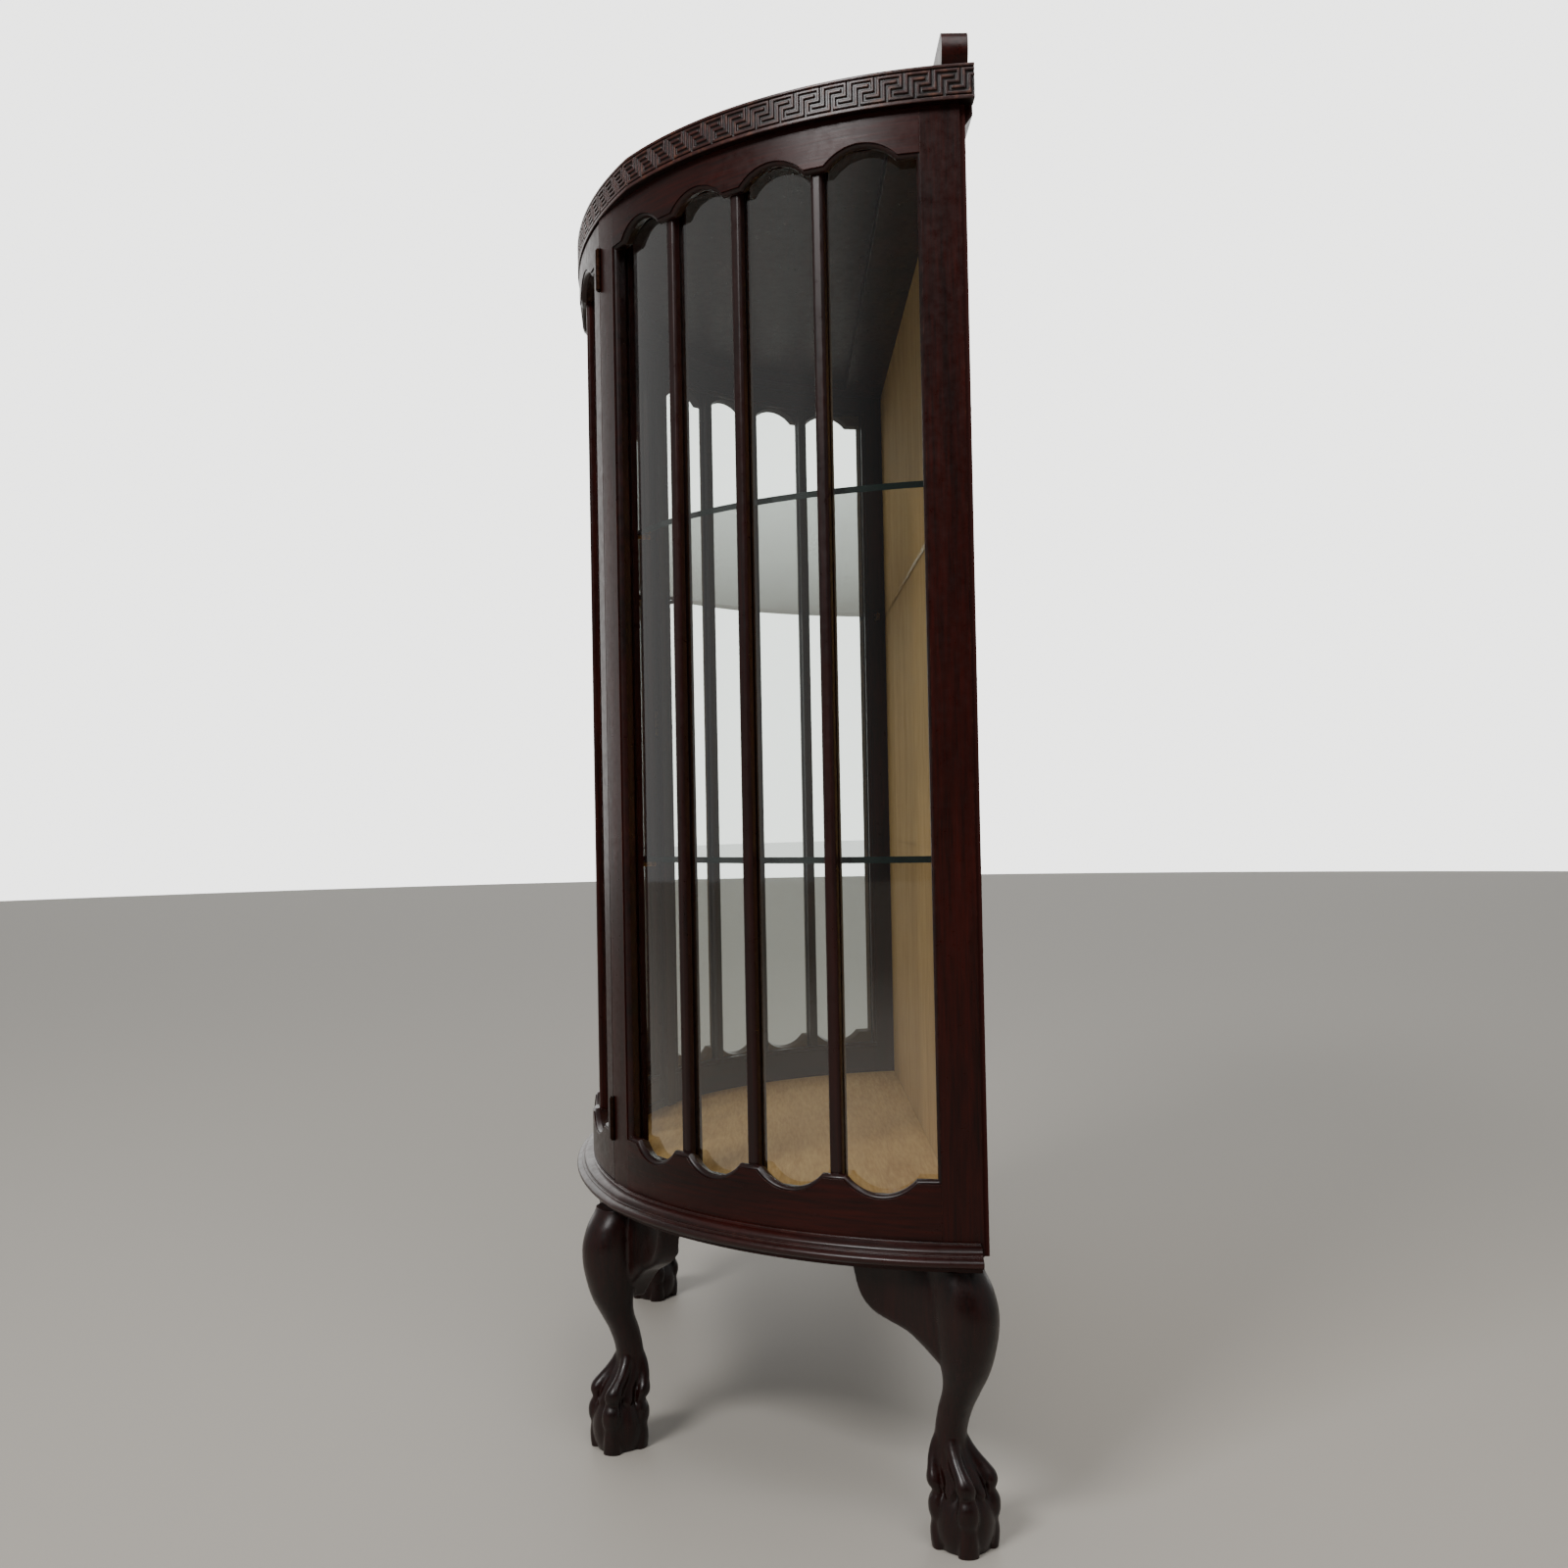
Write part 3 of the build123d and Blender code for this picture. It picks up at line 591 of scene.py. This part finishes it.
# Down a toe: reach from the leg's axis, height, thickness and half-width
toe_line = ((4, 98, 8, 7.5), (9, 86, 8.5, 7.5), (14.5, 75, 8.5, 7), (20.5, 65, 8, 7.5),
            (24.2, 57, 7.4, 9), (22.8, 49, 5.0, 7.5), (24.8, 40, 6.8, 9.5), (25.6, 32, 6.2, 9.5),
            (24.8, 24, 4.8, 7.5), (25.2, 15, 5.4, 8), (24.6, 6, 5.6, 9), (23, -4, 5.4, 9.5))


def toe(direction):
    """A toe with two knuckles and a blunt claw, gripping the ball."""
    across, outward = Vector((cos(direction), -sin(direction), 0)), Vector((sin(direction),
                                                                           cos(direction), 0))

    def place(u, v):
        reach, height, thickness, width = through(toe_line, v)
        ahead, behind = through(toe_line, min(v + 0.02, 1)), through(toe_line, max(v - 0.02, 0))
        slope = Vector((ahead[0] - behind[0], ahead[1] - behind[1])).normalized()
        normal = outward * -slope.y + Vector((0, 0, 1)) * slope.x
        centre = outward * reach + Vector((0, leg_section(height)[0], height))
        angle = 2 * pi * u
        return centre + normal * thickness * cos(angle) + across * width * sin(angle)

    piece = rolled_grid("toe", 24, 60, place)
    close_up(piece)
    return piece


def web():
    """The skin between the toes, which hangs over the ball in four lobes."""
    def place(u, v):
        angle = 2 * pi * u
        edge = 58 - 11 * cos(2 * angle) ** 2
        rim = ball_radius * sqrt(1 - min(abs(edge - ball_height) / ball_rise, 1) ** 2) + 2.8
        line = [(13.6, 96), (14.0, 86), (16.0, 76), (0.5 * rim + 8.5, edge + 10), (rim, edge),
                (rim - 3.5, edge - 1.5), (8, edge - 2)]
        radius, height = through(line, v)
        return Vector((radius * sin(angle), radius * cos(angle) + leg_section(height)[0], height))

    piece = rolled_grid("web", 96, 42, place)
    close_up(piece)
    return piece


ear_line = ((-14, 148), (0, 163), (14, 176), (26, 185), (41, 192), (56, 201), (66, 215), (72, 240))


def ear(start_angle, sweep_sign):
    """A shaped bracket beside a leg, swelling out to meet the knee."""
    def round_side(angle):
        return Vector((side_centre[0] + (side_radius - ear_inset) * sin(radians(angle)),
                       side_centre[1] - (side_radius - ear_inset) * cos(radians(angle)), 0))

    start = round_side(start_angle)
    along = (round_side(start_angle + sweep_sign * 5) - start).normalized()
    outward = Vector((start.x - side_centre[0], start.y - side_centre[1], 0)).normalized()
    outward = (outward - along * outward.dot(along)).normalized()
    top = leg_top + joint_lap
    start_fresh()
    bpy.ops.mesh.primitive_cube_add(size=1, location=(0, 0, 0))
    piece = name_piece("ear")
    edit(piece)
    bpy.ops.mesh.select_all(action="SELECT")
    bpy.ops.mesh.subdivide(number_cuts=23)

    def place(co):
        x, low = through(ear_line, co.x + 0.5)
        share = co.z + 0.5
        out = (co.y - 0.5) * ear_thickness
        near = max(0.0, 1 - max(x, 0) / 46) ** 2
        swell = 9.5 * near * sin(pi * min(max(0.15 + share * 0.85, 0), 1)) ** 0.7
        roll = 5.0 * max(0.0, 1 - share / 0.16) ** 2.4
        out += (swell - roll) * (co.y + 0.5)
        return start + along * x + outward * out + Vector((0, 0, low + (top - low) * share))

    reshape(piece, place)
    return piece


def carved_leg(name, spot, ears):
    """Joins a leg's parts, merges them on a fine grid and eases the carving."""
    x, y, heading = spot
    parts = [shin(), ball(), web(), *[toe(pi / 2 * (k + 0.5)) for k in range(4)]]
    leg = join(parts, name)
    leg.data.transform(Matrix.Translation((x, y, 0))
                       @ Matrix.Rotation(radians(heading + 180), 4, "Z"))
    leg = join([leg, *[ear(*e) for e in ears]], name)
    modify(leg, "REMESH", mode="VOXEL", voxel_size=carving().voxel / MM)
    modify(leg, "SMOOTH", factor=0.5, iterations=3)
    edit(leg)
    for height, normal in ((0.0, -1), (leg_top, 1)):
        bpy.ops.mesh.select_all(action="SELECT")
        bpy.ops.mesh.bisect(plane_co=(0, 0, height), plane_no=(0, 0, normal), use_fill=True,
                            clear_outer=True)
    start_fresh()
    leg.data.transform(Matrix.Scale(MM, 4))
    shade(leg, 50)
    # Painted shade: the legs are painted at half the carcass's brightness, for the dim light low
    # down by the floor.
    leg.data.materials.append(mahogany("carved mahogany leg", (1, 1, 0.06), 1.0, light=0.5,
                                       skin_ior=1.42))
    return leg


class CABINET_OT_legs(bpy.types.Operator):
    """Carve the four cabriole legs with their ears and feet"""
    bl_idname = "cabinet.legs"
    bl_label = "Legs"

    def execute(self, context):
        mirror = Matrix.Diagonal((-1, 1, 1, 1))
        back = carved_leg("carved_leg_back_right", back_leg, [(77.0, -1)])
        front = carved_leg("carved_leg_front_right", front_leg, [(28.0, 1), (23.0, -1)])
        back_left = twin(back, "carved_leg_back_left", mirror)
        front_left = twin(front, "carved_leg_front_left", mirror)
        for leg, hand in ((back, "right"), (back_left, "left")):
            settle(leg, body, "mahogany", f"leg_back_{hand}", f"ear_back_{hand}")
        for leg, hand in ((front, "right"), (front_left, "left")):
            settle(leg, body, "mahogany", f"leg_front_{hand}", f"ear_front_{hand}_side",
                   f"ear_front_{hand}_door")
        return {"FINISHED"}


# ---- Finishes ----------------------------------------------------------------------------------
def add(tree, kind, inputs=None, **settings):
    """Adds a node with its settings; each input is a value or the socket to link from."""
    made = tree.nodes.new(kind)
    for key, value in settings.items():
        setattr(made, key, value)
    for key, value in (inputs or {}).items():
        if isinstance(value, bpy.types.NodeSocket):
            tree.links.new(value, made.inputs[key])
        else:
            made.inputs[key].default_value = value
    return made


def remap(tree, value, start, end, low=0.0, high=1.0):
    """Maps a value from start..end onto low..high and holds it at either end."""
    return add(tree, "ShaderNodeMapRange", {"Value": value, "From Min": start, "From Max": end,
                                            "To Min": low, "To Max": high}).outputs[0]


def combine(tree, operation, first, second=0.0):
    return add(tree, "ShaderNodeMath", {0: first, 1: second}, operation=operation).outputs[0]


def blend(tree, share, first, second):
    """The first colour where the share is 0 and the second where it is 1."""
    return add(tree, "ShaderNodeMix", {0: share, 6: first, 7: second},
               data_type="RGBA").outputs[2]


def scaled(tree, colour, amount):
    return add(tree, "ShaderNodeVectorMath", {0: colour, "Scale": amount},
               operation="SCALE").outputs[0]


def facing_share(tree, first, second):
    """The dot product of two directions."""
    return add(tree, "ShaderNodeVectorMath", {0: first, 1: second},
               operation="DOT_PRODUCT").outputs["Value"]


def noise(tree, place, size, **inputs):
    """Soft noise whose features are about the given size in millimetres."""
    return add(tree, "ShaderNodeTexNoise", {"Vector": place, "Scale": 1 / (size * MM),
                                            **inputs}).outputs[0]


def stretched(tree, grain):
    """The piece's own coordinates, and the same shortened along the grain."""
    place = add(tree, "ShaderNodeTexCoord").outputs["Object"]
    return place, add(tree, "ShaderNodeMapping", {"Vector": place, "Scale": grain}).outputs[0]


def new_material(name):
    made = bpy.data.materials.new(name)
    made.use_nodes = True
    made.node_tree.nodes.clear()
    return made, made.node_tree


def finish_with(tree, surface, kind="Material"):
    add(tree, f"ShaderNodeOutput{kind}", {"Surface": surface})


def full(colour):
    return (*colour, 1.0)


def mahogany(name, grain, wear, raised=None, light=1.0, skin_ior=1.3):
    """Mahogany, stained dark and French polished: close vertical figure, fine open pores,
    a satin skin that is rubbed thin on the arrises. grain shortens the pattern along the wood,
    light scales its colour piece by piece, which paints the legs low down darker as painted shade
    and the band at the top lighter as painted light, and skin_ior is how strongly its polish
    shines."""
    if name in bpy.data.materials:
        return bpy.data.materials[name]
    made, tree = new_material(name)
    tones = colours()
    place, along_grain = stretched(tree, grain)
    figure = noise(tree, along_grain, 22, Detail=4.0, Roughness=0.6)
    fine = noise(tree, along_grain, 2.6, Detail=3.0, Roughness=0.65)
    clouds = noise(tree, place, 140, Detail=2.0)
    streak = combine(tree, "ADD", figure, fine)
    wood = blend(tree, remap(tree, streak, 0.75, 1.25), full(tones.wood_dark), full(tones.wood))
    wood = scaled(tree, wood, remap(tree, clouds, 0.3, 0.7, 0.75 * light, 1.15 * light))
    # The arrises are eased in the shading, and where that turns the light the polish is worn
    soft = add(tree, "ShaderNodeBevel", {"Radius": 0.9 * MM}, samples=6).outputs[0]
    true = add(tree, "ShaderNodeNewGeometry").outputs["Normal"]
    arris = remap(tree, facing_share(tree, soft, true), 0.995, 0.93)
    patches = noise(tree, place, 9, Detail=4.0, Roughness=0.7)
    chips = remap(tree, patches, 0.5, 0.72, high=0.7 * wear)
    worn = combine(tree, "MULTIPLY", arris, chips)
    if raised:
        height = add(tree, "ShaderNodeAttribute", attribute_name=raised).outputs["Fac"]
        # Painted shade: the ground between the ridges is darkened to a quarter, for the shade in
        # the grooves.
        wood = scaled(tree, wood, remap(tree, height, 0.0, 1.0, 0.25))
        worn = combine(tree, "MAXIMUM", worn, combine(tree, "MULTIPLY", height, chips))
    wood = blend(tree, worn, wood, full(tones.wood_worn))
    skin = remap(tree, patches, 0.3, 0.7, 0.26, 0.4)
    pores = add(tree, "ShaderNodeBump", {"Height": fine, "Normal": soft, "Strength": 0.12,
                                         "Distance": 0.4 * MM}).outputs[0]
    finish_with(tree, add(tree, "ShaderNodeBsdfPrincipled", {
        "Base Color": wood, "Roughness": skin, "Normal": pores, "IOR": skin_ior}).outputs[0])
    return made


def carved_mahogany():
    """The carved band: its ground is darkened by painted shade in the grooves and its ridges are
    rubbed.
    """
    # Painted light: the band at the top of the cabinet is painted 1.3 times as light as the
    # carcass.
    return mahogany("carved mahogany band", (0.05, 0.05, 1), 0.8, raised="relief", light=1.3,
                    skin_ior=1.48)


def bar_mahogany():
    """The glazing bars: set darker than the carcass, with a brighter polish on their rounded noses.
    """
    return mahogany("polished mahogany bar", (1, 1, 0.05), 0.5, light=0.6, skin_ior=1.42)


def birch_plywood(name, grain, facing):
    """Birch plywood under clear finish: pale gold with long soft figure and no shine on its
    two faces, and stained edges. facing is the way that its faces look."""
    made, tree = new_material(name)
    tones = colours()
    along_grain = stretched(tree, grain)[1]
    figure = noise(tree, along_grain, 30, Detail=5.0, Roughness=0.65, Distortion=0.6)
    fine = noise(tree, along_grain, 3, Detail=2.0)
    streak = remap(tree, combine(tree, "ADD", figure, fine), 0.7, 1.35)
    wood = blend(tree, streak, full(tones.plywood_dark), full(tones.plywood))
    bump = add(tree, "ShaderNodeBump", {"Height": fine, "Strength": 0.1,
                                        "Distance": 0.3 * MM}).outputs[0]
    normal = add(tree, "ShaderNodeNewGeometry").outputs["Normal"]
    level = combine(tree, "ABSOLUTE", facing_share(tree, normal, facing))
    wood = blend(tree, remap(tree, level, 0.6, 0.4), wood, full(tones.wood))
    finish_with(tree, add(tree, "ShaderNodeBsdfPrincipled", {
        "Base Color": wood, "Roughness": 0.8, "Normal": bump, "IOR": 1.3}).outputs[0])
    return made


def clear_glass(name, edge):
    """Old drawn sheet glass: clear, faintly wavy in its reflections, with the shine of both its
    faces laid on the front one. A cut edge is bottle green."""
    made, tree = new_material(name)
    place = add(tree, "ShaderNodeTexCoord").outputs["Object"]
    geometry = add(tree, "ShaderNodeNewGeometry")
    waves = noise(tree, place, 220, Detail=0.0)
    bump = add(tree, "ShaderNodeBump", {"Height": waves, "Strength": 0.2,
                                        "Distance": 2 * MM}).outputs[0]
    clear = add(tree, "ShaderNodeBsdfTransparent", {"Color": (0.93, 0.95, 0.94, 1)}).outputs[0]
    shine = add(tree, "ShaderNodeBsdfGlossy", {"Color": (1, 1, 1, 1), "Roughness": 0.03,
                                               "Normal": bump}).outputs[0]
    fresnel = add(tree, "ShaderNodeFresnel", {"IOR": 1.6, "Normal": bump}).outputs[0]
    front = combine(tree, "SUBTRACT", 1.0, geometry.outputs["Backfacing"])
    both_faces = combine(tree, "MULTIPLY", fresnel, 2.0)
    mirror = add(tree, "ShaderNodeMath", {0: both_faces, 1: front}, operation="MULTIPLY",
                 use_clamp=True).outputs[0]
    surface = add(tree, "ShaderNodeMixShader", {0: mirror, 1: clear, 2: shine}).outputs[0]
    if edge:
        level = combine(tree, "ABSOLUTE", facing_share(tree, geometry.outputs["Normal"], (0, 0, 1)))
        green = add(tree, "ShaderNodeBsdfPrincipled", {
            "Base Color": full(colours().tint), "Roughness": 0.12, "IOR": 1.5}).outputs[0]
        surface = add(tree, "ShaderNodeMixShader", {0: remap(tree, level, 0.6, 0.4), 1: surface,
                                                    2: green}).outputs[0]
    finish_with(tree, surface)
    return made


def old_metal(name, colour, roughness, stain):
    """Cast or drawn metal that has not been polished for years: dull, with darker stains."""
    made, tree = new_material(name)
    place = add(tree, "ShaderNodeTexCoord").outputs["Object"]
    patches = noise(tree, place, 4, Detail=5.0)
    dark = tuple(c * 0.25 for c in colour)
    tone = blend(tree, remap(tree, patches, 0.4, 0.7, high=stain), full(colour), full(dark))
    rough = remap(tree, patches, 0.0, 1.0, roughness, roughness + 0.3)
    finish_with(tree, add(tree, "ShaderNodeBsdfPrincipled", {
        "Base Color": tone, "Metallic": 1.0, "Roughness": rough}).outputs[0])
    return made


class CABINET_OT_finishes(bpy.types.Operator):
    """Polish, glaze and fit out the pieces that keep their CAD shape"""
    bl_idname = "cabinet.finishes"
    bl_label = "Finishes"

    def execute(self, context):
        tones = colours()
        upright = mahogany("polished mahogany upright", (1, 1, 0.05), 0.8)
        lengthways = mahogany("polished mahogany lengthways", (0.05, 0.05, 1), 0.8)
        top = mahogany("polished mahogany top", (0.05, 1, 1), 0.8)
        bars = bar_mahogany()
        pane = clear_glass("drawn sheet glass", edge=False)
        shelf = clear_glass("plate glass shelf", edge=True)
        brass = old_metal("tarnished brass", tones.brass, 0.3, 0.8)
        brown = old_metal("lacquered brass hinge", tones.hinge, 0.45, 0.9)
        steel = old_metal("dull steel", linear("#8a8882"), 0.45, 0.5)
        plywood = {"back_panel": birch_plywood("birch plywood back", (1, 1, 0.08), (0, 1, 0)),
                   "floor_panel": birch_plywood("birch plywood floor", (0.12, 1, 1), (0, 0, 1))}
        standing = ("post", "stile", "astragals", "slips", "strip")
        slots = {row["node"]: row["material_slot"] for row in frame["record"]["subparts"]}
        for name, node in frame["nodes"].items():
            slot = slots[name]
            if slot == "glass":
                finish = shelf if name.startswith("shelf") else pane
            elif slot == "mahogany":
                finish = upright if any(word in name for word in standing) else lengthways
                finish = top if name in ("top_board", "gallery") else finish
                finish = bars if name.startswith("astragals") else finish
            else:
                metal = brown if name.startswith("hinge") else steel if slot == "steel" else brass
                finish = plywood.get(name) or metal
            node.data.materials.clear()
            node.data.materials.append(finish)
        return {"FINISHED"}


# ---- Stage -------------------------------------------------------------------------------------
camera_place = (1.81808, 0.01859, 0.64196)
camera_yaw = -0.01025        # radians to the left of straight along -X
camera_pitch = 0.02079
camera_roll = -0.01916
camera_lens = 34.885
left_glow, room_glow, backdrop_glow = 2.1, 0.42, 3.6
right_share = 0.25


def softbox(name, place, target, size, power):
    start_fresh()
    bpy.ops.object.light_add(type="AREA", location=place)
    lamp = bpy.context.object
    lamp.name = name
    lamp.data.shape = "RECTANGLE"
    lamp.data.size, lamp.data.size_y = size
    lamp.data.energy = power
    lamp.visible_camera = False
    lamp.rotation_euler = (Vector(target) - Vector(place)).to_track_quat("-Z", "Y").to_euler()


class CABINET_OT_stage(bpy.types.Operator):
    """Set the camera, the pale floor and the soft lights"""
    bl_idname = "cabinet.stage"
    bl_label = "Stage"

    def execute(self, context):
        start_fresh()
        bpy.ops.object.camera_add()
        camera = bpy.context.object
        camera.data.lens = camera_lens
        camera.matrix_world = (Matrix.Translation(camera_place)
                               @ Matrix.Rotation(pi / 2 + camera_yaw, 4, "Z")
                               @ Matrix.Rotation(pi / 2 + camera_pitch, 4, "X")
                               @ Matrix.Rotation(camera_roll, 4, "Z"))
        bpy.context.scene.camera = camera

        start_fresh()
        bpy.ops.mesh.primitive_circle_add(vertices=96, radius=14, fill_type="NGON")
        floor = name_piece("stage_floor")
        made, tree = new_material("pale matt floor")
        finish_with(tree, add(tree, "ShaderNodeBsdfPrincipled", {
            "Base Color": full(colours().floor), "Roughness": 0.6, "IOR": 1.4}).outputs[0])
        floor.data.materials.append(made)

        softbox("window_light", (2.7, -2.0, 3.3), (0.3, 0.0, 1.2), (1.3, 0.9), 120)
        softbox("ceiling_light", (1.5, 0.5, 2.6), (0.3, 0.0, 0.9), (1.0, 1.0), 22)
        world = bpy.data.worlds.new("pale_room")
        world.use_nodes = True
        tree = world.node_tree
        tree.nodes.clear()
        toward = add(tree, "ShaderNodeTexCoord").outputs["Generated"]
        along_x = add(tree, "ShaderNodeSeparateXYZ", {0: toward}).outputs[0]
        # The room is bright to the left of the cabinet, even round it and dimmer to its right
        glow = remap(tree, along_x, -0.82, -0.6, left_glow, room_glow)
        dimmed = remap(tree, along_x, 0.55, 0.85, 1.0, right_share)
        glow = combine(tree, "MULTIPLY", glow, dimmed)
        seen = add(tree, "ShaderNodeLightPath").outputs["Is Camera Ray"]
        strength = add(tree, "ShaderNodeMix", {0: seen, 2: glow, 3: backdrop_glow}).outputs[0]
        sky = add(tree, "ShaderNodeBackground", {"Color": full(linear("#f0f0ee")),
                                                 "Strength": strength}).outputs[0]
        finish_with(tree, sky, "World")
        bpy.context.scene.world = world
        return {"FINISHED"}


# ---- Panel and order of work -------------------------------------------------------------------
operators = (CABINET_OT_key_band, CABINET_OT_base_moulding, CABINET_OT_sticking,
             CABINET_OT_bar_backs, CABINET_OT_legs, CABINET_OT_finishes, CABINET_OT_stage)


class CABINET_PT_panel(bpy.types.Panel):
    """Lists the cabinet's settings and its pieces in the order they are made"""
    bl_idname = "CABINET_PT_panel"
    bl_label = "China cabinet"
    bl_space_type = "VIEW_3D"
    bl_region_type = "UI"
    bl_category = "Cabinet"

    def draw(self, context):
        for group in (context.scene.cabinet_carving, context.scene.cabinet_colours):
            box = self.layout.box()
            for key in group.bl_rna.properties.keys():
                if key not in ("rna_type", "name"):
                    box.prop(group, key)
        for operator in operators:
            self.layout.operator(operator.bl_idname)


classes = (CabinetCarving, CabinetColours, *operators, CABINET_PT_panel)


def register():
    for cls in classes:
        bpy.utils.register_class(cls)
    bpy.types.Scene.cabinet_carving = bpy.props.PointerProperty(type=CabinetCarving)
    bpy.types.Scene.cabinet_colours = bpy.props.PointerProperty(type=CabinetColours)


def unregister():
    del bpy.types.Scene.cabinet_carving
    del bpy.types.Scene.cabinet_colours
    for cls in reversed(classes):
        bpy.utils.unregister_class(cls)


def main():
    register()
    for operator in operators:
        group, name = operator.bl_idname.split(".")
        getattr(getattr(bpy.ops, group), name)()


if __name__ == "__main__":
    main()
